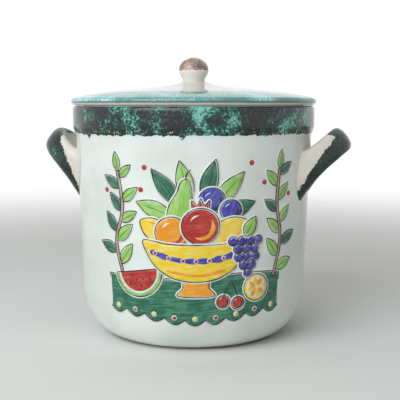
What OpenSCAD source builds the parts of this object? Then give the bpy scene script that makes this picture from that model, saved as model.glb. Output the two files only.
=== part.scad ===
// Lidded earthenware storage pot. A thrown jar with a thick collar round its mouth carries two
// pulled strap handles, and a domed lid with a turned knob drops its flange into the mouth.
// The pot stands on the XY plane, its axis is Z and the handles point along -X and +X.

/* [Jar] */
// Height from the table to the rim that the lid rests on
rim_h = 226; // [190:1:270]
// Outer radius of the wall where the rounded foot corner ends
belly_r = 111.8; // [95:0.1:125]
// How far the wall opens out between the foot corner and the collar
wall_flare = 5.6; // [0:0.1:10]
// Thickness of the wall
wall_t = 7; // [5:0.5:9]
// Thickness of the floor
floor_t = 9; // [6:0.5:12]
// Height of the rounded corner between the foot and the wall
corner_h = 52; // [35:1:65]
// Width of the rounded corner, from the wall in to the flat foot
corner_w = 38; // [25:1:45]
// Width of the ring that the pot stands on
foot_ring_w = 13; // [8:1:20]
// Depth of the hollow inside the foot ring
foot_hollow = 2.5; // [1:0.5:4]

/* [Collar] */
// Height of the collar, from the wall below it to the rim
collar_h = 29.5; // [20:0.5:40]
// How far the collar stands out from the top of the wall
collar_out = 2.6; // [1.5:0.1:6]
// Height of the slope that leads from the wall out to the collar
collar_slope_h = 11; // [5:0.5:14]
// Rounding of the outer and inner edge of the rim
rim_round = 3.2; // [1.5:0.1:4]

/* [Handles] */
// Depth of the middle of a handle root below the rim
root_drop = 67.5; // [60:0.5:80]
// Distance between the middles of the two roots of one handle
root_span = 64; // [54:1:76]
// Height of a root where it spreads on the wall
root_h = 54; // [40:1:60]
// Width of a root where it spreads on the wall
root_w = 23; // [17:0.5:27]
// Distance from the wall to the middle of the strap at its bend
bend_out = 30.4; // [26:0.2:38]
// Height of the bend above the middle of the roots
bend_up = 35; // [28:0.1:40]
// Half the length of the nearly straight run of the strap at its bend
bend_run = 20; // [14:0.5:24]
// Length of the strap's first stretch out of a root
lead_out = 24.5; // [15:0.5:30]
// Climb of the strap as it leaves a root, in degrees
lead_climb = 44; // [30:0.5:60]
// Tilt of the strap's broad faces from upright at the bend, in degrees
strap_tilt = 38; // [20:1:50]
// Width of the strap across its broad faces
strap_w = 25.6; // [18:0.2:30]
// Thickness of the strap
strap_t = 14.4; // [10:0.1:17]

/* [Lid] */
// How far the lid reaches past the collar
lid_over = 1.6; // [0.5:0.1:6]
// Thickness of the lid at its rounded edge
lid_edge_t = 7.7; // [6:0.1:10]
// Thickness of the lid in its dome
lid_t = 7; // [5:0.5:9]
// Height of the dome above the lid's edge
dome_h = 7.9; // [5:0.1:14]
// Radius at which the dome turns into the cone under the knob
cone_r = 62; // [45:1:75]
// Height of the cone from the dome to the knob's neck
cone_h = 8.9; // [6:0.1:16]
// Height of the flange that drops into the mouth
flange_h = 11; // [7:0.5:18]
// Thickness of the flange
flange_t = 6; // [4:0.5:8]

/* [Knob] */
// Radius of the knob's neck, where it is joined to the lid
neck_r = 10.8; // [8:0.1:12.5]
// Radius of the knob at its widest
knob_r = 14.7; // [13:0.1:18]
// Height from the neck to the widest part of the knob
knob_low_h = 10.6; // [7:0.1:14]
// Height from the widest part of the knob to its top
knob_top_h = 12.3; // [9:0.1:18]

/* [Fit] */
// Gap between the rim and the lid that rests on it
seat_gap = 0.3; // [0.2:0.1:0.6]
// Gap between the mouth and the lid's flange, all round
flange_gap = 1.5; // [0.8:0.1:3]

/* [Hidden] */

// Facets of every turned surface
turn_fn = 120;
// Steps along a rounded edge, along a long curve, along half a handle and round its strap
edge_steps = 6;
curve_steps = 14;
strap_steps = 15;
strap_sides = 24;
// How sharply the wall's flare gathers towards the collar
flare_power = 1.2;
// Roundness of the strap's section: 2 is an ellipse, and more is squarer
strap_square = 2.3;
// How fast a root's spread dies out along the strap
root_fade = 6;
// How far a strap runs into the wall before it is trimmed to the wall's surface
root_sink = 4;

collar_low = rim_h - collar_h;
wall_top_r = belly_r + wall_flare;
collar_r = wall_top_r + collar_out;
mouth_r = wall_top_r - wall_t;
foot_r = belly_r - corner_w;
floor_h = foot_hollow + floor_t;

lid_r = collar_r + lid_over;
lid_low = rim_h + seat_gap;
lid_edge_round = lid_edge_t / 2;
lid_edge_top = lid_low + lid_edge_t;
dome_top = lid_edge_top + dome_h;
neck_h = dome_top + cone_h;
flange_r = mouth_r - flange_gap;
flange_round = flange_t / 3;
hollow_h = lid_edge_t + dome_h - lid_t;

// Curves in the plane: an arc of an ellipse, and a curve drawn by two end points and two handles
function arc(mid, size, from, to, steps) =
    [for (i = [0:steps]) let (a = from + (to - from) * i / steps)
        [mid.x + size.x * cos(a), mid.y + size.y * sin(a)]];
function curve_at(p, s) = pow(1 - s, 3) * p[0] + 3 * s * pow(1 - s, 2) * p[1]
    + 3 * s * s * (1 - s) * p[2] + pow(s, 3) * p[3];
function curve(p, steps) = [for (i = [0:steps]) curve_at(p, i / steps)];
function unit(v) = v / norm(v);

// Outer radius of the wall at a height between the foot corner and the collar
function wall_r(z) =
    belly_r + wall_flare * pow(max(0, z - corner_h) / (collar_low - corner_h), flare_power);

// The jar's outside from the edge of the foot up to the rim, drawn from its own sizes
function jar_outside() = concat(
    arc([foot_r, corner_h], [corner_w, corner_h], -90, 0, curve_steps),
    [for (i = [1:curve_steps]) let (z = corner_h + (collar_low - corner_h) * i / curve_steps)
        [wall_r(z), z]],
    [for (i = [1:edge_steps]) let (s = i / edge_steps)
        [wall_top_r + collar_out * (1 - cos(180 * s)) / 2, collar_low + collar_slope_h * s]],
    arc([collar_r - rim_round, rim_h - rim_round], [rim_round, rim_round], 0, 90, edge_steps));

// The jar's inside from the mouth down to the floor
function jar_inside() = concat(
    arc([mouth_r + rim_round, rim_h - rim_round], [rim_round, rim_round], 90, 180, edge_steps),
    [for (i = [0:curve_steps]) let (z = collar_low - (collar_low - corner_h) * i / curve_steps)
        [wall_r(z) - wall_t, z]],
    arc([foot_r, corner_h], [corner_w - wall_t, corner_h - floor_h], 0, -90, curve_steps));

module vessel() {
    hollow_r = foot_r - foot_ring_w;
    color("#e2ebe8")
        rotate_extrude($fn = turn_fn)
            polygon(concat(
                jar_outside(),
                jar_inside(),
                [[0, floor_h], [0, foot_hollow], [hollow_r, foot_hollow],
                 [hollow_r + foot_hollow, 0]]));
}

// A strap runs from one root, out and up to the bend, and back to the other root. Each ring of
// points stands upright and along the wall at a root, and leans back to the bend.
root_z = rim_h - root_drop;
root_wall_r = wall_r(root_z);
root_turn = asin(root_span / 2 / root_wall_r);
root_mid = [(root_wall_r - root_sink) * cos(root_turn), (root_wall_r - root_sink) * sin(root_turn),
            root_z];
bend_x = root_wall_r + bend_out;
bend_z = root_z + bend_up;
strap_line = [
    root_mid,
    root_mid + lead_out * [cos(lead_climb), 0, sin(lead_climb)],
    [bend_x, bend_run, bend_z],
    [bend_x, 0, bend_z]];

function strap_way(s) = s >= 1 ? [0, -1, 0] : unit(curve_at(strap_line, s + 0.002)
    - curve_at(strap_line, s));
function power_cos(c) = sign(c) * pow(abs(c), 2 / strap_square);
function strap_ring(s, side) =
    let (
        lean = strap_tilt * (1 - pow(1 - s, 2)),
        broad = [-sin(lean), 0, cos(lean)],
        rooted = pow(1 - s, 2),
        across = unit(rooted * [sin(root_turn), -cos(root_turn), 0]
            + (1 - rooted) * unit(cross(strap_way(s), broad))),
        spread = pow(1 - s, root_fade),
        half_w = (strap_w + (root_h - strap_w) * spread) / 2,
        half_t = (strap_t + (root_w - strap_t) * spread) / 2,
        mid = curve_at(strap_line, s))
    [for (k = [0:strap_sides - 1]) let (a = 360 * k / strap_sides,
        p = mid + half_w * power_cos(cos(a)) * broad + half_t * power_cos(sin(a)) * across)
        [p.x, side * p.y, p.z]];

module strap() {
    rings = concat(
        [for (i = [0:strap_steps]) strap_ring(i / strap_steps, 1)],
        [for (i = [strap_steps - 1:-1:0]) strap_ring(i / strap_steps, -1)]);
    last = len(rings) - 1;
    n = strap_sides;
    polyhedron(
        points = [for (r = rings) each r],
        faces = concat(
            [[for (k = [0:n - 1]) k]],
            [[for (k = [n - 1:-1:0]) last * n + k]],
            [for (i = [0:last - 1], k = [0:n - 1]) let (j = (k + 1) % n)
                each [[i * n + k, (i + 1) * n + k, (i + 1) * n + j],
                      [i * n + k, (i + 1) * n + j, i * n + j]]]),
        convexity = 4);
}

// The strap without what lies inside the jar's outer surface, so that it meets the wall all over
module handle() {
    difference() {
        strap();
        rotate_extrude($fn = turn_fn)
            polygon(concat([[0, 0]], jar_outside(), [[0, rim_h]]));
    }
}

module handle_right() {
    color("#1f4c42") handle();
}

module handle_left() {
    color("#1f4c42") mirror([1, 0, 0]) handle();
}

// The lid's shell: a rounded edge, a low dome, and a cone that sweeps up to the knob's neck. Its
// underside is flat where it rests on the rim and carries the flange, and hollow inside that.
module lid() {
    edge_in = lid_r - lid_edge_round;
    dome_run = edge_in - cone_r;
    hollow_r = flange_r - flange_t;
    color("#79c2c6")
        rotate_extrude($fn = turn_fn)
            polygon(concat(
                arc([edge_in, lid_low + lid_edge_round], [lid_edge_round, lid_edge_round],
                    -90, 90, 2 * edge_steps),
                curve([[edge_in, lid_edge_top], [edge_in - dome_run * 0.25, dome_top - dome_h * 0.58],
                       [cone_r + dome_run * 0.4, dome_top - dome_h * 0.22], [cone_r, dome_top]],
                    curve_steps),
                curve([[cone_r, dome_top], [cone_r * 0.55, dome_top + cone_h * 0.33],
                       [neck_r * 1.15, neck_h - cone_h * 0.45], [neck_r, neck_h]], curve_steps),
                [[0, neck_h]],
                curve([[0, lid_low + hollow_h], [hollow_r * 0.55, lid_low + hollow_h],
                       [hollow_r * 0.96, lid_low + hollow_h * 0.75], [hollow_r, lid_low]],
                    curve_steps)));
}

// The ring under the lid that drops into the mouth and keeps the lid in place
module lid_flange() {
    low = lid_low - flange_h;
    inner_r = flange_r - flange_t;
    color("#d9d6cb")
        rotate_extrude($fn = turn_fn)
            polygon(concat(
                [[inner_r, lid_low]],
                arc([inner_r + flange_round, low + flange_round], [flange_round, flange_round],
                    180, 270, edge_steps),
                arc([flange_r - flange_round, low + flange_round], [flange_round, flange_round],
                    270, 360, edge_steps),
                [[flange_r, lid_low]]));
}

// The turned knob, which swells from its neck and closes in a nearly round top
module lid_knob() {
    wide = neck_h + knob_low_h;
    color("#b98f86")
        rotate_extrude($fn = turn_fn)
            polygon(concat(
                [[0, neck_h]],
                curve([[neck_r, neck_h], [neck_r, neck_h + knob_low_h * 0.3],
                       [knob_r, wide - knob_low_h * 0.5], [knob_r, wide]], curve_steps),
                arc([0, wide], [knob_r, knob_top_h], 90 / curve_steps, 90, curve_steps - 1)));
}

vessel();
handle_left();
handle_right();
lid();
lid_flange();
lid_knob();
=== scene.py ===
import bisect
import math
import random

import bpy
import numpy as np
from mathutils import Matrix, Vector, noise
from mathutils.geometry import delaunay_2d_cdt


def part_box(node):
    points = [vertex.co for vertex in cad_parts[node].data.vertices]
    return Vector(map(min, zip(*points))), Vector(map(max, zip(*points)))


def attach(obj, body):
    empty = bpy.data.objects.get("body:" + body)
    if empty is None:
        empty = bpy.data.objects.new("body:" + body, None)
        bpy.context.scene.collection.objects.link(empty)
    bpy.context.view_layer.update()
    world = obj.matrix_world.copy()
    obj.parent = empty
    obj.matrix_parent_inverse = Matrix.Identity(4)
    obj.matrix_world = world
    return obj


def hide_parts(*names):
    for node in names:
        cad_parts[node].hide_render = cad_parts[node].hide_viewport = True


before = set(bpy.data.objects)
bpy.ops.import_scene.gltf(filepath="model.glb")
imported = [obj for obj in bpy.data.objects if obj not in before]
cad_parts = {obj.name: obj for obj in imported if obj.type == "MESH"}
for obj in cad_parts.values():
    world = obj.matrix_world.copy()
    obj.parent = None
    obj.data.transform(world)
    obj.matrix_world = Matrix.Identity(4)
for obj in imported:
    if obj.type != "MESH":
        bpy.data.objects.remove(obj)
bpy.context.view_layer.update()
mm = 0.001
random.seed(7)


# Camera at the photo's viewing angle. Rows and columns are pixels of the 400 pixel square picture.
camera = {
    "imageSize": 400,
    "azimuth": 12.0,  # degrees from the -Y side towards the right handle
    "distance": 0.885,
    "eyeHeight": 0.2273,
    "focalPixels": 880.0,
    "horizonRow": 104.5,
    "axisColumn": 193.8,
    "sensorWidth": 36,
    "clipStart": 0.02,
}


def makeCamera():
    turn = math.radians(camera["azimuth"])
    middle = camera["imageSize"] / 2
    pitch = math.atan((middle - camera["horizonRow"]) / camera["focalPixels"])
    yaw = math.atan((middle - camera["axisColumn"]) / camera["focalPixels"])
    ahead = Vector((-math.sin(turn - yaw), math.cos(turn - yaw), 0))
    right = Vector((ahead.y, -ahead.x, 0))
    look = ahead * math.cos(pitch) - Vector((0, 0, math.sin(pitch)))
    up = right.cross(look)
    data = bpy.data.cameras.new("camera")
    data.sensor_width = camera["sensorWidth"]
    data.lens = data.sensor_width * camera["focalPixels"] / camera["imageSize"]
    data.clip_start = camera["clipStart"]
    eye = bpy.data.objects.new("camera", data)
    bpy.context.scene.collection.objects.link(eye)
    place = Matrix((right, up, -look)).transposed().to_4x4()
    place.translation = (math.sin(turn) * camera["distance"],
                         -math.cos(turn) * camera["distance"], camera["eyeHeight"])
    eye.matrix_world = place
    bpy.context.scene.camera = eye


makeCamera()
print("camera ready")


# Small helpers for curves, all in millimetres
def ease(low, high, x):
    t = min(max((x - low) / (high - low), 0.0), 1.0)
    return t * t * (3 - 2 * t)


def spaced(low, high, count):
    return np.linspace(low, high, count).tolist()


def arc(centre, size, start, end, steps):
    angles = [math.radians(start + (end - start) * i / steps) for i in range(steps + 1)]
    return [(centre[0] + size[0] * math.cos(a), centre[1] + size[1] * math.sin(a)) for a in angles]


def bezierAt(p, s):
    return (1 - s) ** 3 * p[0] + 3 * s * (1 - s) ** 2 * p[1] + 3 * s * s * (1 - s) * p[2] + s ** 3 * p[3]


def bezier(points, steps):
    p = [Vector(q) for q in points]
    return [bezierAt(p, i / steps) for i in range(steps + 1)]


def makeObject(name, verts, faces, materials, faceSlots=None, rounded=True):
    mesh = bpy.data.meshes.new(name)
    mesh.from_pydata([tuple(v) for v in verts], [], faces)
    for material in materials:
        mesh.materials.append(material)
    if faceSlots:
        mesh.polygons.foreach_set("material_index", faceSlots)
    mesh.polygons.foreach_set("use_smooth", [rounded] * len(faces))
    mesh.update()
    thing = bpy.data.objects.new(name, mesh)
    bpy.context.scene.collection.objects.link(thing)
    return thing


# The jar, in millimetres. Its height and collar come from the frame.
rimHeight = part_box("vessel")[1].z / mm
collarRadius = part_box("vessel")[1].x / mm
jar = {
    "collarOut": 2.6,
    "collarHeight": 29.5,
    "slopeHeight": 11.0,
    "wallFlare": 5.6,
    "flarePower": 1.2,
    "wall": 7.0,
    "floor": 9.0,
    "cornerHeight": 52.0,
    "cornerWidth": 38.0,
    "footRing": 13.0,
    "footHollow": 2.5,
    "rimRound": 3.2,
    "bareHeight": 3.2,  # no glaze from here down
    "sides": 300,
    "wobble": 0.45,  # how far the thrown wall strays inwards
    "throwing": 0.03,  # height of the throwing rings
    "throwingPitch": 13.0,
}
wallTopRadius = collarRadius - jar["collarOut"]
bellyRadius = wallTopRadius - jar["wallFlare"]
collarLow = rimHeight - jar["collarHeight"]
footRadius = bellyRadius - jar["cornerWidth"]
mouthRadius = wallTopRadius - jar["wall"]
floorHeight = jar["footHollow"] + jar["floor"]


def wallRadius(z):
    rise = max(0.0, z - jar["cornerHeight"]) / (collarLow - jar["cornerHeight"])
    return bellyRadius + jar["wallFlare"] * rise ** jar["flarePower"]


def jarOutside():
    corner = arc((footRadius, jar["cornerHeight"]), (jar["cornerWidth"], jar["cornerHeight"]),
                 -90, 0, 40)
    wall = [(wallRadius(z), z) for z in spaced(jar["cornerHeight"], collarLow, 60)[1:]]
    slope = []
    for s in spaced(0, 1, 15)[1:]:
        out = jar["collarOut"] * (1 - math.cos(math.pi * s)) / 2
        slope.append((wallTopRadius + out, collarLow + jar["slopeHeight"] * s))
    roundLow = rimHeight - jar["rimRound"]
    band = [(collarRadius, z) for z in spaced(slope[-1][1], roundLow, 8)[1:-1]]
    rim = arc((collarRadius - jar["rimRound"], roundLow), (jar["rimRound"],) * 2, 0, 90, 10)
    return corner + wall + slope + band + rim


def jarInside():
    roundLow = rimHeight - jar["rimRound"]
    rim = arc((mouthRadius + jar["rimRound"], roundLow), (jar["rimRound"],) * 2, 90, 180, 10)
    wall = [(wallRadius(min(z, collarLow)) - jar["wall"], z)
            for z in spaced(roundLow - 2, jar["cornerHeight"], 60)]
    corner = arc((footRadius, jar["cornerHeight"]),
                 (jar["cornerWidth"] - jar["wall"], jar["cornerHeight"] - floorHeight), 0, -90, 30)
    return rim + wall + corner[1:] + [(footRadius * k, floorHeight) for k in (0.66, 0.33, 0)]


def handMade(angle, z):
    # Slow wobble of a thrown wall and its faint spiral of throwing rings, never outwards
    spot = Vector((math.cos(angle), math.sin(angle), z / 70)) * 1.3
    slow = noise.noise(spot) * 0.5 + 0.5
    rings = math.sin(2 * math.pi * z / jar["throwingPitch"] + angle)
    fade = ease(8, 30, z) * (1 - ease(collarLow - 6, collarLow + 8, z))
    return -jar["wobble"] * (0.4 + 0.6 * slow) - jar["throwing"] * (1 + rings) * fade


def skin(rings, size, closed):
    # Faces over a row of rings of one size, which is either a closed row or capped at its ends
    faces = []
    for i in range(rings if closed else rings - 1):
        here, there = size * i, size * ((i + 1) % rings)
        for j in range(size):
            n = (j + 1) % size
            faces.append((here + j, there + j, there + n, here + n))
    if not closed:
        last = size * (rings - 1)
        faces += [tuple(range(size)), tuple(range(last, last + size))[::-1]]
    return faces


def turnOnWheel(path, sides, wobble):
    # Revolves a path of (radius, height) round the Z axis. An end on the axis closes in one point.
    verts, faces, rows = [], [], []
    for r, z in path:
        if r < 1e-6:
            rows.append([len(verts)])
            verts.append((0, 0, z * mm))
            continue
        rows.append(list(range(len(verts), len(verts) + sides)))
        for k in range(sides):
            a = 2 * math.pi * k / sides
            here = (r + wobble(a, z, r)) * mm
            verts.append((here * math.cos(a), here * math.sin(a), z * mm))
    for low, high in zip(rows, rows[1:]):
        for k in range(sides):
            n = (k + 1) % sides
            if len(low) == 1:
                faces.append((low[0], high[n], high[k]))
            elif len(high) == 1:
                faces.append((low[k], low[n], high[0]))
            else:
                faces.append((low[k], low[n], high[n], high[k]))
    return verts, faces


# Node helpers. A value that is a socket is linked, and any other is set.
def put(tree, kind, inputs=None, **settings):
    made = tree.nodes.new(kind)
    for key, value in settings.items():
        setattr(made, key, value)
    for key, value in (inputs or {}).items():
        if isinstance(value, bpy.types.NodeSocket):
            tree.links.new(value, made.inputs[key])
        else:
            made.inputs[key].default_value = value
    return made


def calc(tree, operation, a, b, clamp=False):
    return put(tree, "ShaderNodeMath", {0: a, 1: b}, operation=operation, use_clamp=clamp).outputs[0]


def blendColour(tree, factor, a, b):
    return put(tree, "ShaderNodeMix", {0: factor, 6: a, 7: b}, data_type="RGBA").outputs[2]


def weigh(tree, *parts):
    # Sum of the values, each times its weight
    total = 0.0
    for value, weight in parts:
        total = put(tree, "ShaderNodeMath", {0: value, 1: weight, 2: total},
                    operation="MULTIPLY_ADD").outputs[0]
    return total


def remap(tree, value, low, high, outLow=0.0, outHigh=1.0):
    return put(tree, "ShaderNodeMapRange",
               {"Value": value, "From Min": low, "From Max": high, "To Min": outLow, "To Max": outHigh},
               interpolation_type="SMOOTHSTEP").outputs["Result"]


def grain(tree, vector, size, detail, roughness=0.5, stretch=(1, 1, 1)):
    # Noise whose features are about size millimetres across
    scaled = put(tree, "ShaderNodeVectorMath", {0: vector, 1: stretch}, operation="MULTIPLY")
    return put(tree, "ShaderNodeTexNoise",
               {"Vector": scaled.outputs[0], "Scale": 1.0 / size, "Detail": detail,
                "Roughness": roughness}).outputs["Fac"]


def dots(tree, vector, size):
    return put(tree, "ShaderNodeTexVoronoi", {"Vector": vector, "Scale": 1.0 / size}).outputs["Distance"]


def srgb(r, g, b):
    # A colour as it looks on a screen, from 0 to 255, as the linear one that shaders take
    def linear(c):
        c = c / 255
        return c / 12.92 if c <= 0.04045 else ((c + 0.055) / 1.055) ** 2.4
    return (linear(r), linear(g), linear(b), 1.0)


def newGroup(name, inputs, outputs):
    # Inputs have their usual values: None for a place, four numbers for a colour, or one number
    tree = bpy.data.node_groups.new(name, "ShaderNodeTree")
    for label, usual in inputs.items():
        kind = "Vector" if usual is None else "Color" if isinstance(usual, tuple) else "Float"
        socket = tree.interface.new_socket(label, in_out="INPUT", socket_type="NodeSocket" + kind)
        if usual is not None:
            socket.default_value = usual
    for label in outputs:
        kind = "NodeSocketColor" if label == "Color" else "NodeSocketFloat"
        tree.interface.new_socket(label, in_out="OUTPUT", socket_type=kind)
    return tree, tree.nodes.new("NodeGroupInput").outputs, tree.nodes.new("NodeGroupOutput").inputs


def useGroup(tree, group, inputs):
    return put(tree, "ShaderNodeGroup", inputs, node_tree=group).outputs


def millimetres(tree):
    # Place on the piece in millimetres, so that every texture size below is a real one
    place = put(tree, "ShaderNodeTexCoord").outputs["Object"]
    return put(tree, "ShaderNodeVectorMath", {0: place, "Scale": 1 / mm}, operation="SCALE").outputs[0]


black = (0.0, 0.0, 0.0, 1.0)


def makeTinWhite():
    # Tin glaze: cool white that pools slightly warmer and greyer, with a few brown iron specks
    tree, given, result = newGroup(
        "tinWhite", {"Place": None, "White": srgb(236, 242, 239), "Pooled": srgb(222, 229, 224)},
        ("Color", "Height"))
    slow = remap(tree, grain(tree, given["Place"], 55, 2), 0.35, 0.7)
    colour = blendColour(tree, slow, given["White"], given["Pooled"])
    specks = remap(tree, dots(tree, given["Place"], 11), 0.045, 0.02)
    chosen = remap(tree, grain(tree, given["Place"], 16, 0), 0.56, 0.62)
    specks = calc(tree, "MULTIPLY", specks, chosen)
    colour = blendColour(tree, calc(tree, "MULTIPLY", specks, 0.7), colour, srgb(120, 98, 84))
    tree.links.new(colour, result["Color"])
    peel = grain(tree, given["Place"], 7, 1)
    pits = remap(tree, dots(tree, given["Place"], 6), 0.0, 0.09)
    tree.links.new(weigh(tree, (peel, 1.0), (pits, 0.35)), result["Height"])
    return tree


def makeSponged():
    # Sponged glaze: three tones that break up at two sizes, with small bright flecks
    tree, given, result = newGroup(
        "spongedGlaze", {"Place": None, "Deep": black, "Middle": black, "Bright": black,
                         "Zone Size": 22.0, "Dab Size": 2.6, "Depth": 0.5, "Flecks": 0.5},
        ("Color", "Height"))

    def sized(socket, detail):
        scale = calc(tree, "DIVIDE", 1.0, socket)
        return put(tree, "ShaderNodeTexNoise", {"Vector": given["Place"], "Scale": scale,
                                                "Detail": detail}).outputs["Fac"]
    zones = sized(given["Zone Size"], 2.0)
    dabs = sized(given["Dab Size"], 3.0)
    tone = weigh(tree, (zones, 1.5), (dabs, 1.2), (given["Depth"], -1.0))
    colour = blendColour(tree, remap(tree, tone, 0.7, 1.05), given["Deep"], given["Middle"])
    fleckTone = weigh(tree, (tone, 1.0), (given["Flecks"], 0.5))
    colour = blendColour(tree, remap(tree, fleckTone, 1.18, 1.5), colour, given["Bright"])
    tree.links.new(colour, result["Color"])
    tree.links.new(dabs, result["Height"])
    return tree


def makeRagged():
    # Mask with a dabbed, ragged edge, from the distance to that edge in millimetres
    tree, given, result = newGroup(
        "raggedEdge", {"Place": None, "Distance": 0.0, "Ragged": 3.0}, ("Mask",))
    coarse = calc(tree, "SUBTRACT", grain(tree, given["Place"], 7, 2), 0.5)
    fine = calc(tree, "SUBTRACT", grain(tree, given["Place"], 1.8, 2, 0.6), 0.5)
    push = weigh(tree, (coarse, 1.6), (fine, 1.2))
    edge = weigh(tree, (given["Distance"], 1.0), (push, given["Ragged"]))
    tree.links.new(remap(tree, edge, -0.25, 0.25), result["Mask"])
    return tree


def makeBrushwork():
    # Pigment laid with a brush: streaks run along the stroke and let the white show through
    tree, given, result = newGroup(
        "brushwork", {"Stroke": None, "Pigment": black, "Thin": black, "Streaks": 0.5},
        ("Color", "Height"))
    hairs = grain(tree, given["Stroke"], 1.0, 3, 0.6, (0.055, 0.9, 1))
    pools = grain(tree, given["Stroke"], 9, 2)
    load = weigh(tree, (hairs, 0.75), (pools, 0.5))
    thin = calc(tree, "MULTIPLY", remap(tree, load, 0.72, 0.42), given["Streaks"])
    tree.links.new(blendColour(tree, thin, given["Pigment"], given["Thin"]), result["Color"])
    tree.links.new(load, result["Height"])
    return tree


tinWhite = makeTinWhite()
spongedGlaze = makeSponged()
raggedEdge = makeRagged()
brushwork = makeBrushwork()


def raggedMask(tree, place, value, edge, ragged):
    # 1 where the value is past the edge, with a boundary that strays by about ragged millimetres
    distance = calc(tree, "SUBTRACT", value, edge)
    return useGroup(tree, raggedEdge, {"Place": place, "Distance": distance, "Ragged": ragged})["Mask"]


def newMaterial(name):
    material = bpy.data.materials.new(name)
    material.use_nodes = True
    tree = material.node_tree
    tree.nodes.clear()
    return material, tree


def finishSurface(tree, colour, height, roughness, bump):
    # Bump is the depth in millimetres that a height of 1 stands for
    tilt = put(tree, "ShaderNodeBump", {"Height": height, "Strength": 1.0, "Distance": bump * mm})
    glaze = put(tree, "ShaderNodeBsdfPrincipled",
                {"Base Color": colour, "Roughness": roughness, "Normal": tilt.outputs["Normal"]})
    put(tree, "ShaderNodeOutputMaterial", {"Surface": glaze.outputs[0]})


def whiteMaterial():
    material, tree = newMaterial("whiteGlaze")
    place = millimetres(tree)
    white = useGroup(tree, tinWhite, {"Place": place})
    finishSurface(tree, white["Color"], white["Height"], 0.12, 0.12)
    return material


def clayMaterial():
    material, tree = newMaterial("bareClay")
    place = millimetres(tree)
    mottled = remap(tree, grain(tree, place, 9, 4, 0.6), 0.35, 0.7)
    grit = grain(tree, place, 0.7, 2)
    colour = blendColour(tree, mottled, srgb(214, 190, 160), srgb(190, 160, 128))
    finishSurface(tree, colour, grit, 0.75, 0.15)
    return material


whiteGlaze = whiteMaterial()
bareClay = clayMaterial()


# The jar itself: foot, rounded corner, wall, collar, and the inside down to the floor
def makeJar():
    hollow = footRadius - jar["footRing"]
    under = [(0, jar["footHollow"]), (hollow * 0.5, jar["footHollow"]), (hollow, jar["footHollow"]),
             (hollow + 1.6, 1.2), (hollow + 3.2, 0.2), (hollow + 5, 0), (footRadius - 4, 0)]
    path = under + jarOutside() + jarInside()
    verts, faces = turnOnWheel(path, jar["sides"], lambda a, z, r: handMade(a, z) * ease(0, 60, r))
    bare = jar["bareHeight"] * mm
    slots = [1 if max(verts[i][2] for i in f) < bare else 0 for f in faces]
    piece = makeObject("jar", verts, faces, [whiteGlaze, bareClay], slots)
    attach(piece, "pot")
    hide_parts("vessel")


makeJar()
print("jar ready")


# A track up the jar's outside by length. v is the height at the foot of the wall, and goes on from
# there, up and down, by the length of the surface.
class Track:
    def __init__(self, path, zeroHeight):
        self.path = [Vector(p) for p in path]
        self.length = [0.0]
        for a, b in zip(self.path, self.path[1:]):
            self.length.append(self.length[-1] + (b - a).length)
        steps = [(b - a).normalized() for a, b in zip(self.path, self.path[1:])]
        ways = [(a + b).normalized() for a, b in zip([steps[0]] + steps, steps + [steps[-1]])]
        self.normals = [Vector((w.y, -w.x)) for w in ways]
        start = next(i for i, p in enumerate(self.path) if p.y >= zeroHeight - 1e-6)
        self.shift = self.length[start] - zeroHeight

    def at(self, v):
        s = min(max(v + self.shift, 0.0), self.length[-1])
        i = min(max(bisect.bisect_right(self.length, s) - 1, 0), len(self.path) - 2)
        t = (s - self.length[i]) / (self.length[i + 1] - self.length[i])
        return self.path[i].lerp(self.path[i + 1], t), self.normals[i].lerp(self.normals[i + 1], t)

    def top(self):
        return self.length[-1] - self.shift


jarTrack = Track(jarOutside(), jar["cornerHeight"])


def onJar(angle, v, lift):
    # Point on the jar's outer surface, lift millimetres proud of it, in metres
    place, normal = jarTrack.at(v)
    r = place.x + handMade(angle, place.y) + lift * normal.x
    return (r * math.cos(angle) * mm, r * math.sin(angle) * mm, (place.y + lift * normal.y) * mm)


def setValues(piece, name, values, kind="FLOAT"):
    # One number or one vector for each vertex
    layer = piece.data.attributes.new(name, kind, "POINT")
    field = "value" if kind == "FLOAT" else "vector"
    layer.data.foreach_set(field, np.array(values, dtype=np.float32).ravel())


def readValues(tree, name, output="Fac"):
    return put(tree, "ShaderNodeAttribute", attribute_name=name).outputs[output]


front = math.radians(camera["azimuth"] - 90)


# Collar glaze: a thin skin over the collar with a ragged, dripping lower edge
collarGlaze = {
    "edge": 200.0,
    "lift": 0.12,
    "sunk": -0.08,
    "bank": 0.8,
    "belowTop": 1.6,
    "columns": 720,
    "rows": 18,
    "sway": 1.2,
    "tooth": 1.5,
    "drips": 9,
    "dripLength": (1.5, 4.0),
    "dripWidth": 2.4,
    "mainDrip": -10.5,  # millimetres round the jar from the camera's side
    "brightSpot": (36, -115, 213),
    "brightReach": (50.0, 14.0),
    "brightDepth": (0.57, 0.43),  # away from the bright spot and in it
    "green": {"Deep": srgb(22, 30, 33), "Middle": srgb(24, 98, 82), "Bright": srgb(128, 206, 192),
              "Zone Size": 20.0, "Dab Size": 2.2, "Flecks": 0.55},
    # Lavender-grey of a milky glaze, which also stands in for a painted reflection of the lamps on the
    # dark glaze
    "milkAndSheen": srgb(150, 148, 164),
    "fleck": srgb(226, 236, 228),
}


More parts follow.
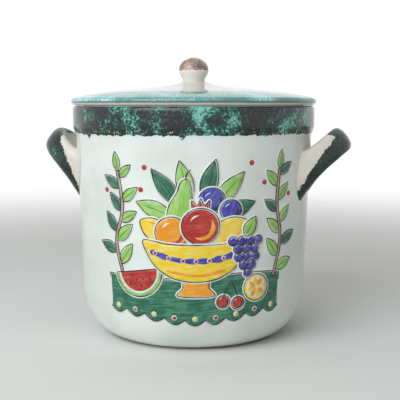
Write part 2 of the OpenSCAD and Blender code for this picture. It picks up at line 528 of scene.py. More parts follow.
def collarMaterial():
    material, tree = newMaterial("collarGlaze")
    place = millimetres(tree)
    away = put(tree, "ShaderNodeVectorMath", {0: place, 1: collarGlaze["brightSpot"]},
               operation="DISTANCE").outputs["Value"]
    depth = remap(tree, away, *collarGlaze["brightReach"], *collarGlaze["brightDepth"])
    green = useGroup(tree, spongedGlaze, {"Place": place, "Depth": depth, **collarGlaze["green"]})
    # Random milky patches: partly milky glaze, partly a painted reflection on the dark collar
    milkAndSheenMask = calc(tree, "MULTIPLY", remap(tree, grain(tree, place, 38, 1), 0.6, 0.72), 0.45)
    colour = blendColour(tree, milkAndSheenMask, green["Color"], collarGlaze["milkAndSheen"])
    nearEdge = remap(tree, readValues(tree, "cover"), 7.0, 1.0)
    flecks = remap(tree, dots(tree, place, 2.6), 0.34, 0.2)
    chosen = remap(tree, grain(tree, place, 5, 1), 0.5, 0.58)
    flecks = calc(tree, "MULTIPLY", calc(tree, "MULTIPLY", flecks, chosen),
                  calc(tree, "ADD", nearEdge, 0.12, True))
    colour = blendColour(tree, flecks, colour, collarGlaze["fleck"])
    finishSurface(tree, colour, green["Height"], 0.12, 0.25)
    return material


def makeCollarGlaze():
    drips = [(front + collarGlaze["mainDrip"] / collarRadius, collarGlaze["dripLength"][1])]
    for i in range(collarGlaze["drips"]):
        drips.append((random.uniform(0, 2 * math.pi), random.uniform(*collarGlaze["dripLength"])))

    def lowEdge(angle):
        # Sways slowly, with teeth in two sizes, and hangs down where the glaze ran
        spot = Vector((math.cos(angle), math.sin(angle), 0.3))
        low = collarGlaze["edge"] + collarGlaze["sway"] * noise.noise(spot * 3)
        low += collarGlaze["tooth"] * noise.noise(spot * 26)
        low += collarGlaze["tooth"] * 0.6 * noise.noise(spot * 70)
        for place, length in drips:
            gap = math.remainder(angle - place, 2 * math.pi) * collarRadius
            low -= length * math.exp(-(gap / collarGlaze["dripWidth"]) ** 2)
        return low

    columns = collarGlaze["columns"]
    high = jarTrack.top() - collarGlaze["belowTop"]
    verts, cover = [], []
    for k in range(columns):
        angle = 2 * math.pi * k / columns
        low = lowEdge(angle)
        steps = [(low, collarGlaze["sunk"]), (low + 0.3, collarGlaze["lift"] * 0.7)]
        level = spaced(low + collarGlaze["bank"], high - 0.5, collarGlaze["rows"])
        steps += [(v, collarGlaze["lift"]) for v in level]
        steps.append((high, collarGlaze["sunk"]))
        verts += [onJar(angle, v, lift) for v, lift in steps]
        cover += [v - low for v, lift in steps]
    faces = skin(columns, len(verts) // columns, True)
    piece = makeObject("collarGlaze", verts, faces, [collarMaterial()])
    setValues(piece, "cover", cover)
    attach(piece, "pot")


makeCollarGlaze()
print("collar glaze ready")


# Handles: a pulled strap, flared where it was pressed on to the wall, and tilted at the bend.
# Pairs are for the left and the right handle.
handle = {
    "rootDrop": 67.5,
    "rootSpan": 64.0,
    "rootHeight": 54.0,
    "rootWidth": 23.0,
    "rootFade": 6,
    "rootSink": 4.0,
    "bendOut": (28.8, 30.2),
    "bendUp": (34.0, 35.0),
    "bendRun": 20.0,
    "leadOut": 24.5,
    "leadClimb": 44.0,
    "tilt": 38.0,
    "width": 25.6,
    "thickness": 14.4,
    "square": 2.3,
    "uneven": 0.03,
    "steps": 60,
    "sides": 44,
    "greenFrom": 147.0,  # height where the cream root begins
    "greenSlope": (0.38, 0.53),
    "greenCap": (16.0, 26.0),
    "innerCream": 6.0,
    "greenTop": (196.0, 204.0),  # all green from here up
    "ragged": 3.0,
    "cream": {"White": srgb(231, 226, 215), "Pooled": srgb(214, 208, 198)},
    "green": {"Deep": srgb(18, 30, 30), "Middle": srgb(20, 76, 62), "Bright": srgb(92, 172, 148),
              "Zone Size": 18.0, "Depth": 0.56, "Flecks": 0.42},
}


def handleMaterial():
    material, tree = newMaterial("handleGlaze")
    place = millimetres(tree)
    cream = useGroup(tree, tinWhite, {"Place": place, **handle["cream"]})
    green = useGroup(tree, spongedGlaze, {"Place": place, **handle["green"]})
    mask = raggedMask(tree, place, readValues(tree, "cover"), 0.0, handle["ragged"])
    colour = blendColour(tree, mask, cream["Color"], green["Color"])
    finishSurface(tree, colour, green["Height"], 0.12, 0.2)
    return material


def strapRing(s, bendOut, bendUp):
    rootZ = rimHeight - handle["rootDrop"]
    rootR = wallRadius(rootZ)
    turn = math.asin(handle["rootSpan"] / 2 / rootR)
    sunk = rootR - handle["rootSink"]
    root = Vector((sunk * math.cos(turn), sunk * math.sin(turn), rootZ))
    climb = math.radians(handle["leadClimb"])
    lead = root + Vector((math.cos(climb), 0, math.sin(climb))) * handle["leadOut"]
    bend = Vector((rootR + bendOut, 0, rootZ + bendUp))
    run = bend + Vector((0, handle["bendRun"], 0))
    middle = bezierAt((root, lead, run, bend), s)
    way = (1 - s) ** 2 * (lead - root) + 2 * s * (1 - s) * (run - lead) + s * s * (bend - run)
    lean = math.radians(handle["tilt"] * (1 - (1 - s) ** 2))
    broad = Vector((-math.sin(lean), 0, math.cos(lean)))
    rooted = (1 - s) ** 2
    along = Vector((math.sin(turn), -math.cos(turn), 0)) * rooted
    across = (along + way.normalized().cross(broad).normalized() * (1 - rooted)).normalized()
    spread = (1 - s) ** handle["rootFade"]
    halfWidth = (handle["width"] + (handle["rootHeight"] - handle["width"]) * spread) / 2
    halfThick = (handle["thickness"] + (handle["rootWidth"] - handle["thickness"]) * spread) / 2

    def squared(c):
        return math.copysign(abs(c) ** (2 / handle["square"]), c)
    ring = []
    for k in range(handle["sides"]):
        a = 2 * math.pi * k / handle["sides"]
        inner = squared(math.sin(a))
        point = middle + halfWidth * squared(math.cos(a)) * broad + halfThick * inner * across
        slack = handle["uneven"] * (0.5 + 0.5 * noise.noise(point / 14))
        ring.append((point.lerp(middle, slack), inner))
    return ring


def makeHandle(name, node, side, material):
    # Side is 0 for the left and 1 for the right
    rings = [strapRing(i / handle["steps"], handle["bendOut"][side], handle["bendUp"][side])
             for i in range(handle["steps"] + 1)]
    mirrored = [[(Vector((p.x, -p.y, p.z)), inner) for p, inner in ring] for ring in rings[-2::-1]]
    verts, cover = [], []
    for ring in rings + mirrored:
        for p, inner in ring:
            beyond = math.hypot(p.x, p.y) - wallRadius(p.z)
            edge = min(handle["greenSlope"][side] * (p.z - handle["greenFrom"]), handle["greenCap"][side])
            edge *= 1 - ease(*handle["greenTop"], p.z)
            cover.append(beyond - edge - handle["innerCream"] * ease(0.2, 0.9, inner))
            verts.append(((p.x if side else -p.x) * mm, p.y * mm, p.z * mm))
    faces = skin(len(rings + mirrored), handle["sides"], False)
    if side:  # the right handle is the left one's mirror image, so its faces turn over
        faces = [face[::-1] for face in faces]
    piece = makeObject(name, verts, faces, [material])
    setValues(piece, "cover", cover)
    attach(piece, "pot")
    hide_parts(node)


handleGlaze = handleMaterial()
makeHandle("handleLeft", "handle_left", 0, handleGlaze)
makeHandle("handleRight", "handle_right", 1, handleGlaze)
print("handles ready")


# Lid, flange and knob, all turned on the wheel
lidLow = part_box("lid")[0].z / mm
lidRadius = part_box("lid")[1].x / mm
lid = {
    "edge": 7.7,
    "domeHeight": 7.9,
    "coneRadius": 62.0,
    "coneHeight": 8.9,
    "coneBelly": 34.1,
    "hollow": 8.6,
    "flangeHeight": 11.0,
    "flangeWall": 6.0,
    "flangeGap": 1.5,
    "flangeRound": 2.0,
    "neck": 10.8,
    "knob": 14.7,
    "knobLow": 10.6,
    "knobTop": 12.3,
    "knobSink": 0.6,
    "wobble": 0.3,
    "sides": 260,
    # Edges between glazes: the radius or the height, and how far the edge strays
    "tealRing": (88.0, 6.0),
    "edgeTeal": (230.3, 0.5),
    "edgeLine": (228.9, 0.4),
    "knobGlaze": (261.0, 1.6),
    "cream": {"White": srgb(228, 222, 213), "Pooled": srgb(214, 211, 203)},
    # Teal sponged glaze whose colours are set light, so they also carry painted light from above on the
    # lid's top
    "tealAndTopLight": {"Deep": srgb(84, 150, 143), "Middle": srgb(126, 194, 192), "Bright": srgb(176, 230, 234),
             "Zone Size": 30.0, "Dab Size": 2.0},
    "edgePale": srgb(206, 206, 200),
    "edgePurple": srgb(108, 100, 116),
    "knobCream": {"White": srgb(243, 243, 240), "Pooled": srgb(234, 233, 228)},
    "knobBrown": {"Deep": srgb(128, 98, 94), "Middle": srgb(196, 168, 156),
                  "Bright": srgb(214, 196, 184), "Zone Size": 12.0, "Dab Size": 1.6},
}
edgeHalf = lid["edge"] / 2
domeTop = lidLow + lid["edge"] + lid["domeHeight"]
neckHeight = domeTop + lid["coneHeight"]
flangeRadius = mouthRadius - lid["flangeGap"]
flangeInner = flangeRadius - lid["flangeWall"]
knobWide = neckHeight + lid["knobLow"]


def lidMaterial():
    material, tree = newMaterial("lidGlaze")
    place = millimetres(tree)
    flat = put(tree, "ShaderNodeVectorMath", {0: place, 1: (1, 1, 0)}, operation="MULTIPLY").outputs[0]
    radius = put(tree, "ShaderNodeVectorMath", {0: flat}, operation="LENGTH").outputs["Value"]
    height = put(tree, "ShaderNodeSeparateXYZ", {0: place}).outputs[2]
    cream = useGroup(tree, tinWhite, {"Place": place, **lid["cream"]})
    # Teal glaze with painted light from above in its colours
    tealAndTopLight = useGroup(tree, spongedGlaze, {"Place": place, **lid["tealAndTopLight"]})
    ring = raggedMask(tree, place, radius, *lid["tealRing"])
    above = raggedMask(tree, place, height, *lid["edgeTeal"])
    line = raggedMask(tree, place, height, *lid["edgeLine"])
    colour = blendColour(tree, ring, cream["Color"], tealAndTopLight["Color"])
    below = blendColour(tree, line, lid["edgePale"], lid["edgePurple"])
    colour = blendColour(tree, above, below, colour)
    # The hollow under the lid and the flat of its edge stay cream
    inHollow = calc(tree, "MULTIPLY", calc(tree, "LESS_THAN", radius, flangeInner + 1),
                    calc(tree, "LESS_THAN", height, lidLow + lid["hollow"] + 0.5))
    under = calc(tree, "MAXIMUM", inHollow, calc(tree, "LESS_THAN", height, lidLow + 0.3))
    colour = blendColour(tree, under, colour, cream["Color"])
    finishSurface(tree, colour, cream["Height"], 0.1, 0.12)
    return material


def knobMaterial():
    material, tree = newMaterial("knobGlaze")
    place = millimetres(tree)
    height = put(tree, "ShaderNodeSeparateXYZ", {0: place}).outputs[2]
    cream = useGroup(tree, tinWhite, {"Place": place, **lid["knobCream"]})
    brown = useGroup(tree, spongedGlaze, {"Place": place, **lid["knobBrown"]})
    mask = raggedMask(tree, place, height, *lid["knobGlaze"])
    colour = blendColour(tree, mask, cream["Color"], brown["Color"])
    finishSurface(tree, colour, brown["Height"], 0.14, 0.15)
    return material


def turnPiece(name, path, node, material, wobble=lambda a, z, r: 0.0):
    verts, faces = turnOnWheel(path, lid["sides"], wobble)
    piece = makeObject(name, verts, faces, [material])
    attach(piece, "lid")
    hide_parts(node)


def makeLid():
    edgeIn = lidRadius - edgeHalf
    run = edgeIn - lid["coneRadius"]
    roof = lidLow + lid["hollow"]
    hollow = bezier([(0, roof), (flangeInner * 0.55, roof),
                     (flangeInner * 0.96, lidLow + lid["hollow"] * 0.75), (flangeInner, lidLow)], 40)
    rim = arc((edgeIn, lidLow + edgeHalf), (edgeHalf, edgeHalf), -90, 90, 20)
    dome = bezier([(edgeIn, lidLow + lid["edge"]),
                   (edgeIn - run * 0.25, domeTop - lid["domeHeight"] * 0.58),
                   (lid["coneRadius"] + run * 0.4, domeTop - lid["domeHeight"] * 0.22),
                   (lid["coneRadius"], domeTop)], 30)
    cone = bezier([(lid["coneRadius"], domeTop), (lid["coneBelly"], domeTop + lid["coneHeight"] * 0.33),
                   (lid["neck"] * 1.15, neckHeight - lid["coneHeight"] * 0.45),
                   (lid["neck"], neckHeight)], 30)
    path = hollow + rim + dome[1:] + cone[1:] + [(0, neckHeight)]

    def wobble(a, z, r):
        slow = noise.noise(Vector((math.cos(a), math.sin(a), 4.0)) * 1.2) * 0.5 + 0.5
        return -lid["wobble"] * slow * ease(70, 115, r)
    turnPiece("lidBody", path, "lid", lidMaterial(), wobble)


def makeFlange():
    low, top, corner = lidLow - lid["flangeHeight"], lidLow + 0.3, lid["flangeRound"]
    outer = arc((flangeRadius - corner, low + corner), (corner, corner), -90, 0, 6)
    inner = arc((flangeInner + corner, low + corner), (corner, corner), 180, 270, 6)
    path = outer + [(flangeRadius, top), (flangeInner, top)] + inner + [outer[0]]
    turnPiece("lidFlange", path, "lid_flange", whiteGlaze)


def makeKnob():
    lower = bezier([(lid["neck"], neckHeight), (lid["neck"], neckHeight + lid["knobLow"] * 0.3),
                    (lid["knob"], knobWide - lid["knobLow"] * 0.5), (lid["knob"], knobWide)], 16)
    crown = arc((0, knobWide), (lid["knob"], lid["knobTop"]), 0, 90, 20)[1:-1]
    sunk = neckHeight - lid["knobSink"]
    path = [(0, sunk), (lid["neck"] - 0.4, sunk)] + lower + crown + [(0, knobWide + lid["knobTop"])]
    turnPiece("lidKnob", path, "lid_knob", knobMaterial())


makeLid()
makeFlange()
makeKnob()
print("lid ready")


# Painting: thin patches of pigment on the wall. They are laid out flat first, in millimetres:
# u runs round the jar from the picture's middle, and v is the height.
paint = {
    "radius": 113.0,
    "lift": 0.05,
    "layer": 0.085,
    "fill": 0.035,
    "detail": 0.055,
    "line": 0.07,
    "sunk": -0.05,
    "lineWidth": 1.25,
    "halo": 1.0,
    "inset": 0.7,
    "slip": 0.3,
    "grid": 2.5,
    "bristle": 1.5,
    "streaks": 0.8,
    "lineStreaks": 0.35,
}
pigments = {
    "paintYellow": (srgb(245, 208, 30), srgb(250, 234, 140)),
    "paintRed": (srgb(176, 34, 34), srgb(212, 92, 76)),
    "paintCobalt": (srgb(54, 56, 166), srgb(116, 122, 206)),
    "paintOrange": (srgb(240, 150, 16), srgb(248, 198, 96)),
    "paintLeaf": (srgb(140, 200, 90), srgb(194, 228, 146)),
    "paintDeepGreen": (srgb(32, 102, 78), srgb(94, 160, 130)),
    "paintTan": (srgb(188, 156, 134), srgb(218, 194, 174)),
    "paintLine": (srgb(42, 30, 32), srgb(86, 68, 64)),
}
sheets = {name: {"verts": [], "faces": [], "strokes": []} for name in [*pigments, "whiteGround"]}
leafColours = ("paintLeaf", "paintDeepGreen")


def layerLift(layer):
    return paint["lift"] + paint["layer"] * layer


def layDown(colour, middle, spots, faces, strokes):
    # Spots are (u, v, lift)
    sheet = sheets[colour]
    base = len(sheet["verts"])
    sheet["verts"] += [onJar(middle + u / paint["radius"], v, lift) for u, v, lift in spots]
    sheet["faces"] += [tuple(base + i for i in face) for face in faces]
    sheet["strokes"] += strokes


def smooth(points, closed=True, spacing=1.3):
    # Curve through the points
    p = [Vector(q) for q in points]
    count = len(p)
    out = []
    for i in range(count if closed else count - 1):
        if closed:
            a, b, c, d = p[i - 1], p[i], p[(i + 1) % count], p[(i + 2) % count]
        else:
            a, b, c, d = p[max(i - 1, 0)], p[i], p[i + 1], p[min(i + 2, count - 1)]
        steps = max(1, round((c - b).length / spacing))
        for k in range(steps):
            t = k / steps
            bend = (a * 2 - b * 5 + c * 4 - d) * t * t + (b * 3 - a - c * 3 + d) * t ** 3
            out.append((b * 2 + (c - a) * t + bend) * 0.5)
    if not closed:
        out.append(p[-1])
    return out


def leftOf(way):
    return Vector((-way.y, way.x))


def anticlockwise(loop):
    area = sum(a.x * b.y - b.x * a.y for a, b in zip(loop, loop[1:] + loop[:1]))
    return loop if area > 0 else loop[::-1]


def grow(loop, out):
    ways = [(loop[(i + 1) % len(loop)] - loop[i - 1]).normalized() for i in range(len(loop))]
    moved = [p - leftOf(way) * out for p, way in zip(loop, ways)]
    if out > 0:
        return moved
    return [p for p in moved if min((p - q).length for q in loop) > -0.9 * out]  # not past a narrow tip


def insideLoop(spots, corners):
    # A spot is inside when the line to its right crosses the loop an odd number of times
    x, y = spots[:, :1], spots[:, 1:]
    ax, ay = corners[:, 0], corners[:, 1]
    bx, by = np.roll(ax, -1), np.roll(ay, -1)
    crosses = (ay > y) != (by > y)
    slant = (bx - ax) * (y - ay) / np.where(by == ay, 1e-9, by - ay) + ax
    return (crosses & (x < slant)).sum(1) % 2 == 1


def fillPatch(colour, middle, loop, lift, brush=0.0):
    corners = np.array([[p.x, p.y] for p in loop])
    low, high = corners.min(0), corners.max(0)
    step = paint["grid"]
    across, up = np.meshgrid(np.arange(low[0] + step / 2, high[0], step),
                             np.arange(low[1] + step / 2, high[1], step))
    spots = np.column_stack((across.ravel(), up.ravel()))
    if len(spots):
        spots = spots[insideLoop(spots, corners)]
    flat = [Vector(c) for c in corners.tolist()] + [Vector(s) for s in spots.tolist()]
    made = delaunay_2d_cdt(flat, [], [list(range(len(corners)))], 1, 1e-4)
    points, triangles = made[0], [tuple(f) for f in made[2]]
    edges = {(f[i], f[(i + 1) % len(f)]) for f in triangles for i in range(len(f))}
    count = len(points)
    skirt = [(b, a, a + count, b + count) for a, b in sorted(edges) if (b, a) not in edges]
    under = [tuple(i + count for i in face[::-1]) for face in triangles]
    places = [(p.x, p.y, rise) for rise in (lift, paint["sunk"]) for p in points]
    c, s = math.cos(math.radians(brush)), math.sin(math.radians(brush))
    strokes = [(u * c + v * s, v * c - u * s, loop[0].x) for u, v, rise in places]
    layDown(colour, middle, places, triangles + skirt + under, strokes)


def brushLine(colour, middle, line, width, lift, closed=False):
    count = len(line)
    across = max(2, math.ceil(width / paint["bristle"]) + 1)
    profile = [(-1, paint["sunk"])] + [(k, lift) for k in spaced(-0.8, 0.8, across)]
    profile.append((1, paint["sunk"]))
    places, strokes = [], []
    length = 0.0
    for i, p in enumerate(line):
        before = line[i - 1] if closed or i > 0 else p
        after = line[(i + 1) % count] if closed or i < count - 1 else p
        way = (after - before).normalized()
        side = leftOf(way)
        # The brush presses harder in places, and lifts off at both ends
        press = 0.9 + 0.45 * noise.noise(Vector((p.x, p.y, width)) * 0.12)
        taper = 1.0 if closed else min(1.0, (i + 0.4) / 3, (count - i - 0.6) / 3)
        half = width / 2 * press * taper
        length += (p - before).length
        for offset, rise in profile:
            spot = p + side * half * offset
            places.append((spot.x, spot.y, rise))
            strokes.append((length, half * offset, line[0].x))
    layDown(colour, middle, places, skin(count, len(profile), closed), strokes)


def paintShape(middle, loop, colour, layer, brush=0.0, ground=True):
    # White ground, fill and outline, so that a later shape hides what lies behind it
    loop = anticlockwise(loop)
    lift = layerLift(layer)
    if ground:
        fillPatch("whiteGround", middle, grow(loop, paint["lineWidth"] / 2 + paint["halo"]), lift)
    slip = Vector((random.uniform(-1, 1), random.uniform(-1, 1))) * paint["slip"]
    fill = [p + slip for p in grow(loop, -paint["inset"])]
    fillPatch(colour, middle, fill, lift + paint["fill"], brush)
    brushLine("paintLine", middle, loop, paint["lineWidth"], lift + paint["line"], True)


def turned(u, v, x, y, turn):
    c, s = math.cos(math.radians(turn)), math.sin(math.radians(turn))
    return Vector((u + x * c - y * s, v + x * s + y * c))


def spoke(u, v, reach, a):
    return u + reach * math.cos(a), v + reach * math.sin(a)


def bow(u, v, radius, start, end, count):
    return [Vector(spoke(u, v, radius, a)) for a in spaced(start, end, count)]


def oval(u, v, wide, high, turn=0.0, nib=0.0):
    # Nib draws the two ends out, as on a lemon
    count = max(14, round(math.pi * (wide + high) / 1.3))
    loop = []
    for k in range(count):
        a = 2 * math.pi * k / count
        x = wide * math.cos(a) * (1 + nib * abs(math.cos(a)) ** 8)
        loop.append(turned(u, v, x, high * math.sin(a), turn))
    return loop


def leafShape(u, v, length, width, angle):
    along = Vector(spoke(0, 0, 1, math.radians(angle)))
    side = leftOf(along)
    root = Vector((u, v))
    steps = max(8, round(length / 1.5))
    sides = [[], []]
    for k in range(steps + 1):
        t = k / steps
        half = width / 2 * max(0.03, math.sin(math.pi * t ** 0.85)) ** 0.9
        sides[0].append(root + along * length * t - side * half)
        sides[1].append(root + along * length * t + side * half)
    return sides[0] + sides[1][::-1]


def paintLeaf(middle, u, v, length, width, angle, colour, layer):
    paintShape(middle, leafShape(u, v, length, width, angle), colour, layer, angle)
    along = Vector(spoke(0, 0, 1, math.radians(angle)))
    rib = [Vector((u, v)) + along * length * t for t in spaced(0.05, 0.82, 12)]
    brushLine("paintLine", middle, rib, 0.8, layerLift(layer) + paint["line"])


def thicken(line, half):
    ways = [(b - a).normalized() for a, b in zip(line, line[1:])]
    ways.append(ways[-1])
    left = [p + leftOf(way) * half for p, way in zip(line, ways)]
    right = [p - leftOf(way) * half for p, way in zip(line, ways)]
    return right + left[::-1]


# A stem with leaves on both sides. Shares are of the stem's length or of a leaf's.
sprig = {
    "firstLeaf": 0.1,
    "leafRun": 0.82,
    "spread": (42, 60),  # degrees away from the stem
    "sizes": (0.88, 1.08),
    "dwindle": 0.25,
    "leafWidth": 0.46,
    "tipLength": 0.7,
    "tipWidth": 0.32,
    "stemHalf": 1.5,
}


def heading(way):
    return math.degrees(math.atan2(way.y, way.x))


def paintSprig(middle, points, leaves, size, layer, colours):
    stem = smooth(points, False)
    last = len(stem) - 1
    for i in range(leaves):
        k = round(last * (sprig["firstLeaf"] + sprig["leafRun"] * i / (leaves - 1)))
        way = stem[min(k + 1, last)] - stem[max(k - 1, 0)]
        spread = random.uniform(*sprig["spread"]) * (1 if i % 2 else -1)
        length = size * random.uniform(*sprig["sizes"]) * (1 - sprig["dwindle"] * i / leaves)
        paintLeaf(middle, stem[k].x, stem[k].y, length, length * sprig["leafWidth"],
                  heading(way) + spread, colours[i % len(colours)], layer)
    tip = stem[-1]
    paintLeaf(middle, tip.x, tip.y, size * sprig["tipLength"], size * sprig["tipWidth"],
              heading(tip - stem[-3]), colours[0], layer)
    paintShape(middle, thicken(stem, sprig["stemHalf"]), "paintTan", layer + 1, 90, False)


# Round fruit with a shaded side and a small light. Widths and radii are shares of the fruit's.
berry = {
    "height": 0.96,
    "shadeRadius": 0.66,
    "shadeArc": (-2.0, 0.5),
    "shadeWidth": 0.3,
    "lightRadius": 0.9,  # share of the shade's radius
    "lightArc": (1.7, 2.7),
    "lightWidth": 0.13,
    "leastLight": 0.9,  # millimetres
}


def paintRound(middle, u, v, radius, colour, shade, layer):
    body = oval(u, v, radius, radius * berry["height"])
    paintShape(middle, body, colour, layer, random.uniform(0, 90))
    lift = layerLift(layer) + paint["detail"]
    inner = radius * berry["shadeRadius"]
    dark = bow(u, v, inner, *berry["shadeArc"], 12)
    brushLine(shade, middle, dark, radius * berry["shadeWidth"], lift)
    light = bow(u, v, inner * berry["lightRadius"], *berry["lightArc"], 8)
    brushLine("whiteGround", middle, light, max(berry["leastLight"], radius * berry["lightWidth"]), lift)


def paintLemon(middle, u, v, size, turn, layer):
    paintShape(middle, oval(u, v, size, size * 0.7, turn, 0.16), "paintYellow", layer, turn)
    lift = layerLift(layer) + paint["detail"]
    shade = [turned(u, v, size * 0.66 * math.cos(a), size * 0.42 * math.sin(a), turn)
             for a in spaced(-2.5, -0.5, 12)]
    brushLine("paintOrange", middle, shade, size * 0.16, lift)


def paintDot(middle, u, v, radius, colour, layer):
    fillPatch(colour, middle, oval(u, v, radius, radius), layerLift(layer) + paint["line"])


# Table cloth with a scalloped hem
cloth = {
    "left": -86.0,
    "right": 88.0,
    "hem": 38.0,
    "top": 74.0,
    "wave": 2.5,
    "sag": 4.55,
    "scallops": 9,
    "scallopDepth": 5.5,
    "scallopSteps": 14,
    "dotRise": 1.5,
}


def paintCloth(middle):
    left, right = cloth["left"], cloth["right"]

    def hemAt(u):
        turn = math.pi * (u - left) / (right - left) * 2 - math.pi
        return cloth["hem"] - cloth["sag"] * math.cos(turn)
    loop = [Vector((u, cloth["top"] + cloth["wave"] * math.sin(u / 30)))
            for u in spaced(left, right, 70)]
    width = (right - left) / cloth["scallops"]
    steps = cloth["scallopSteps"]
    for i in range(cloth["scallops"]):
        for k in range(steps):
            t = (k + 0.5) / steps
            u = right - width * (i + t)
            loop.append(Vector((u, hemAt(u) - cloth["scallopDepth"] * math.sin(math.pi * t))))
    paintShape(middle, loop, "paintDeepGreen", 0, 4)
    for i in range(cloth["scallops"]):
        u = left + width * (i + 0.5)
        v = hemAt(u) + cloth["dotRise"]
        paintDot(middle, u, v, 2.6, "whiteGround", 0.1)
        paintDot(middle, u, v, 1.8, ("paintYellow", "paintRed")[i % 2], 0.5)


def beside(u, points):
    return [(u + x, v) for x, v in points]


def paintBowl(middle, u):
    foot = smooth(beside(u, [(-17, 57), (0, 55.5), (17, 57), (12, 64), (10, 72), (-10, 72), (-12, 64)]))
    paintShape(middle, foot, "paintOrange", 6, 10)
    body = smooth(beside(u, [(-48, 107), (-45, 95), (-36, 82), (-20, 72.5), (0, 69.5), (20, 72.5),
                             (36, 82), (45, 95), (48, 107), (26, 104), (0, 103), (-26, 104)]))
    paintShape(middle, body, "paintYellow", 7, 8)
    lift = layerLift(7) + paint["detail"]
    band = smooth(beside(u, [(-42, 97), (-22, 90.5), (0, 88.5), (22, 90.5), (42, 97)]), False)
    brushLine("paintCobalt", middle, band, 7.0, lift)
    lower = smooth(beside(u, [(-27, 80), (0, 75.5), (27, 80)]), False)
    brushLine("paintOrange", middle, lower, 4.0, lift)
    for k in range(7):
        at = band[round((len(band) - 1) * (k + 0.5) / 7)]
        paintDot(middle, at.x, at.y, 2.2, "whiteGround", 7.0)
        paintDot(middle, at.x, at.y, 1.5, "paintRed", 7.3)


def paintFruit(middle, u):
    # Leaves fan out from an ellipse behind the fruit
    fan = ((160, 34), (128, 40), (104, 36), (74, 38), (48, 40), (20, 34))
    for i, (angle, length) in enumerate(fan):
        a = math.radians(angle)
        paintLeaf(middle, u + 24 * math.cos(a), 122 + 22 * math.sin(a), length, 15, angle,
                  leafColours[i % 2], 1)
    pear = smooth(beside(u, [(-26, 124), (-24, 138), (-17, 150), (-13, 160), (-7, 162),
                             (-4, 154), (-3, 142), (2, 128), (-6, 116), (-20, 115)]))
    paintShape(middle, pear, "paintLeaf", 2, 80)
    stalk = smooth(beside(u, [(-9, 161), (-8, 167), (-4, 171)]), False)
    brushLine("paintLine", middle, stalk, 1.8, layerLift(2) + paint["line"])
    paintRound(middle, u + 14, 143, 12, "paintCobalt", "paintLine", 2)
    paintRound(middle, u + 31, 134, 10, "paintCobalt", "paintLine", 3)
    paintLemon(middle, u - 37, 116, 14, 150, 3)
    paintRound(middle, u - 22, 114, 15, "paintOrange", "paintRed", 4)
    paintLemon(middle, u + 30, 115, 17, 24, 4)
    crown = beside(u, [(-2, 132), (-4, 143), (1, 139), (4, 145), (7, 139), (12, 143), (9, 132)])
    paintShape(middle, smooth(crown, True, 0.9), "paintRed", 5, 90)
    paintRound(middle, u + 4, 120, 17, "paintRed", "paintOrange", 6)
    for row, across in enumerate((4, 3, 3, 2, 1)):
        for k in range(across):
            grapeU = u + 46 + (k - (across - 1) / 2) * 8.4 + row * 0.7
            paintRound(middle, grapeU, 106 - row * 7.4, 4.5, "paintCobalt", "paintLine", 8)
    paintLeaf(middle, u + 45, 110, 20, 12, 60, "paintLeaf", 9)


def paintMelon(middle, u, v):
    # Slice standing on its rind
    def half(radius):
        loop = bow(u, v, radius, math.pi + 0.15, 2 * math.pi + 0.15, 40)
        return loop + [loop[-1].lerp(loop[0], t) for t in spaced(0.04, 0.96, 24)]
    paintShape(middle, half(24), "paintLeaf", 1.5, 10)
    lift = layerLift(1.5) + paint["fill"]
    fillPatch("whiteGround", middle, anticlockwise(half(21)), lift + 0.01)
    fillPatch("paintRed", middle, anticlockwise(half(19)), lift + 0.02, 12)
    for k in range(6):
        a = math.pi + 0.55 + k * 0.42
        seed = oval(*spoke(u, v, 14 if k % 2 else 8.5, a), 1.6, 0.9, math.degrees(a))
        fillPatch("paintLine", middle, seed, lift + 0.035)


def paintCutLemon(middle, u, v, radius):
    paintShape(middle, oval(u, v, radius, radius * 0.94), "paintYellow", 1.5)
    lift = layerLift(1.5) + paint["fill"]
    fillPatch("whiteGround", middle, oval(u, v, radius * 0.8, radius * 0.75), lift + 0.01)
    for k in range(8):
        turn = 360 * k / 8 + 10
        tip = spoke(u, v, 1.4, math.radians(turn))
        segment = leafShape(*tip, radius * 0.66, radius * 0.36, turn)
        fillPatch("paintOrange" if k % 2 else "paintYellow", middle, segment, lift + 0.02, turn)


def paintCherries(middle, u, v, layer):
    for side in (-1, 1):
        stem = smooth([(u + side * 7, v + 4), (u + side * 4, v + 13), (u, v + 20)], False)
        brushLine("paintLine", middle, stem, 1.2, layerLift(layer + 0.8))
        paintRound(middle, u + side * 7, v - side, 6.2, "paintRed", "paintLine", layer)


def paintFront(middle):
    paintSprig(middle, [(-70, 76), (-76, 104), (-68, 134), (-72, 168)], 9, 25, 1, leafColours)
    paintSprig(middle, [(80, 70), (88, 104), (82, 138), (84, 170)], 9, 24, 1,
               ("paintLeaf", "paintLeaf", "paintDeepGreen"))
    paintCloth(middle)
    paintFruit(middle, 2)
    paintBowl(middle, 2)
    paintMelon(middle, -53, 78)
    paintCutLemon(middle, 60, 62, 13)
    paintCherries(middle, 34, 50, 2.2)
    for u, v in ((-86, 150), (-48, 152), (66, 158), (98, 146), (-44, 172), (52, 176)):
        paintDot(middle, u, v, 2.4, "paintRed", 1)


def paintSideSprig(middle):
    paintSprig(middle, [(-3, 40), (5, 58), (-2, 76), (2, 94)], 7, 21, 1, leafColours)


def paintBack(middle):
    paintSprig(middle, [(-58, 74), (-20, 96), (16, 104), (60, 142)], 12, 27, 1, leafColours)
    paintLemon(middle, -24, 80, 16, 250, 3)
    paintLemon(middle, 14, 84, 17, 285, 3)
    paintRound(middle, -6, 124, 12, "paintOrange", "paintRed", 3)
    paintCherries(middle, 44, 96, 3)


def pigmentMaterial(name):
    material, tree = newMaterial(name)
    pigment, thin = pigments[name]
    streaks = paint["lineStreaks" if name == "paintLine" else "streaks"]
    laid = useGroup(tree, brushwork, {"Stroke": readValues(tree, "stroke", "Vector"),
                                      "Pigment": pigment, "Thin": thin, "Streaks": streaks})
    finishSurface(tree, laid["Color"], laid["Height"], 0.13, 0.06)
    return material


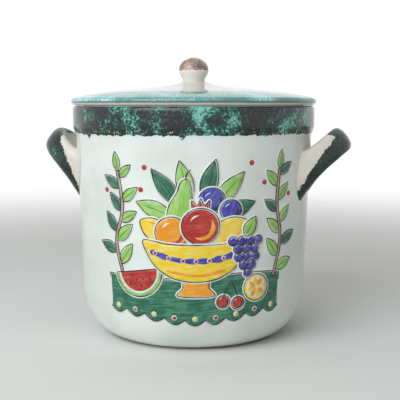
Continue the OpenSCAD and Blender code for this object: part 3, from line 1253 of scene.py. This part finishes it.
def makePainting():
    paintFront(front)
    paintSideSprig(front + math.radians(100))
    paintBack(front + math.pi)
    for name, sheet in sheets.items():
        material = whiteGlaze if name == "whiteGround" else pigmentMaterial(name)
        piece = makeObject(name, sheet["verts"], sheet["faces"], [material])
        setValues(piece, "stroke", sheet["strokes"], "FLOAT_VECTOR")
        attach(piece, "pot")


makePainting()
print("painting ready")


# Floor and light
studio = {
    "background": 1.0,
    "ambient": (1.0, 0.985, 0.95, 1.0),
    "leftToRight": (0.38, 0.2),  # strength of the room's light, which is darker on the right
    "floorColour": srgb(232, 233, 232),
    "floorHalf": 4.0,
    "floorFade": (0.45, 1.6),
    "lampColour": (0.95, 1.0, 1.0),
    "lampAim": (0, 0, 0.13),
    # Azimuth as the camera's, height in degrees, distance, size and power
    "lamps": {
        "keyLight": (-22, 30, 1.9, (1.5, 1.5), 23.0),
        "fillLight": (75, 20, 2.2, (1.2, 1.6), 0.6),
        "topLight": (0, 86, 1.8, (1.6, 1.6), 7.0),
    },
}


def makeFloor():
    material, tree = newMaterial("studioFloor")
    place = put(tree, "ShaderNodeTexCoord").outputs["Object"]
    away = put(tree, "ShaderNodeVectorMath", {0: place}, operation="LENGTH").outputs["Value"]
    fade = remap(tree, away, *studio["floorFade"])
    surface = put(tree, "ShaderNodeBsdfDiffuse", {"Color": studio["floorColour"]})
    clear = put(tree, "ShaderNodeBsdfTransparent")
    mixed = put(tree, "ShaderNodeMixShader", {0: fade, 1: surface.outputs[0], 2: clear.outputs[0]})
    put(tree, "ShaderNodeOutputMaterial", {"Surface": mixed.outputs[0]})
    half = studio["floorHalf"]
    floor = makeObject("studioFloor", [(-half, -half, 0), (half, -half, 0), (half, half, 0),
                                       (-half, half, 0)], [(0, 1, 2, 3)], [material], None, False)


def makeWorld():
    world = bpy.data.worlds.new("studio")
    bpy.context.scene.world = world
    world.use_nodes = True
    tree = world.node_tree
    tree.nodes.clear()
    rays = put(tree, "ShaderNodeLightPath").outputs
    seen = calc(tree, "MAXIMUM", rays["Is Camera Ray"], rays["Is Glossy Ray"])
    seen = calc(tree, "MAXIMUM", seen, rays["Is Transmission Ray"])
    direction = put(tree, "ShaderNodeTexCoord").outputs["Generated"]
    sideways = put(tree, "ShaderNodeSeparateXYZ", {0: direction}).outputs[0]
    strength = remap(tree, sideways, -0.2, 0.8, *studio["leftToRight"])
    dim = put(tree, "ShaderNodeBackground", {"Color": studio["ambient"], "Strength": strength})
    white = put(tree, "ShaderNodeBackground", {"Color": (1, 1, 1, 1), "Strength": studio["background"]})
    both = put(tree, "ShaderNodeMixShader", {0: seen, 1: dim.outputs[0], 2: white.outputs[0]})
    put(tree, "ShaderNodeOutputWorld", {"Surface": both.outputs[0]})


def makeLamp(name, azimuth, elevation, distance, size, power):
    data = bpy.data.lights.new(name, "AREA")
    data.shape = "RECTANGLE"
    data.size, data.size_y = size
    data.energy = power
    data.color = studio["lampColour"]
    lamp = bpy.data.objects.new(name, data)
    bpy.context.scene.collection.objects.link(lamp)
    a, e = math.radians(azimuth), math.radians(elevation)
    back = Vector((math.sin(a) * math.cos(e), -math.cos(a) * math.cos(e), math.sin(e)))
    lamp.location = Vector(studio["lampAim"]) + back * distance
    lamp.rotation_euler = back.to_track_quat("Z", "Y").to_euler()


makeFloor()
makeWorld()
for name, placing in studio["lamps"].items():
    makeLamp(name, *placing)
bpy.context.scene.view_settings.view_transform = "Standard"
print("studio ready")
